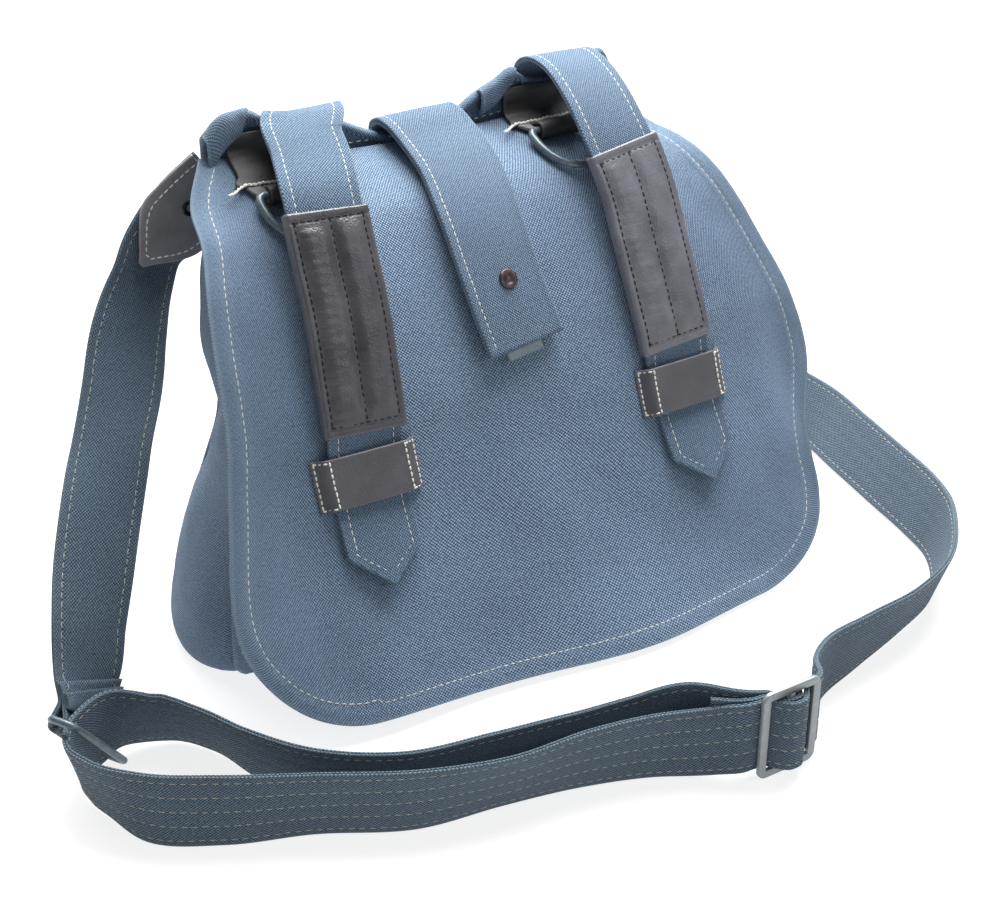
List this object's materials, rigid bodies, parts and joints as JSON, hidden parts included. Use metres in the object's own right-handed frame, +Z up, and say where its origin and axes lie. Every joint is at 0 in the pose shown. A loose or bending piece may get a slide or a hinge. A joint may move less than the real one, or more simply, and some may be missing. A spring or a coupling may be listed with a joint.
{
  "type": "bread bag",
  "caption": "Canvas bread bag with a wide rounded flap, belt loops with leather sleeves, D-rings and a long shoulder strap with ring and slider.",
  "frame": {"origin": "middle of the flat bottom of the pouch, on the surface it stands on", "axes": "+X to the right as the front is seen, -Y out of the front, +Z up"},
  "size_m": [0.541, 0.3328, 0.2673],
  "materials": {
    "blue_canvas": "coarse matte weave",
    "dark_leather": "satin",
    "grey_leather": "matte",
    "painted_steel": "worn paint",
    "dull_copper": "dull",
    "black_metal": "black"
  },
  "bodies": {
    "bag": {"front_panel": "blue_canvas", "back_panel": "blue_canvas", "gusset": "blue_canvas", "rim": "blue_canvas", "flap": "blue_canvas", "belt_loop_left": "blue_canvas", "belt_loop_right": "blue_canvas", "centre_tab": "blue_canvas", "strap_short": "blue_canvas", "strap_long": "blue_canvas", "loop_sleeve_left": "dark_leather", "loop_sleeve_right": "dark_leather", "d_ring_tab_left": "dark_leather", "d_ring_tab_right": "dark_leather", "keeper_left": "grey_leather", "keeper_right": "grey_leather", "strap_end_left": "grey_leather", "strap_end_right": "grey_leather", "strap_ring": "painted_steel", "slider": "painted_steel", "tab_hook": "painted_steel", "tab_rivet": "dull_copper", "strap_rivet_left": "black_metal", "strap_rivet_right": "black_metal"},
    "ring_left": {"d_ring_left": "painted_steel"},
    "ring_right": {"d_ring_right": "painted_steel"}
  },
  "joints": [
    {"name": "ring_left_swing", "type": "hinge", "parent": "bag", "child": "ring_left", "pos_m": [-0.09101, 0.01125, 0.2321], "axis": [-0.9994, 0.0327, 0.0117], "range_deg": [0, 12]},
    {"name": "ring_right_swing", "type": "hinge", "parent": "bag", "child": "ring_right", "pos_m": [0.06905, 0.01773, 0.23365], "axis": [-1, 0, 0.0088], "range_deg": [0, 24]}
  ]
}
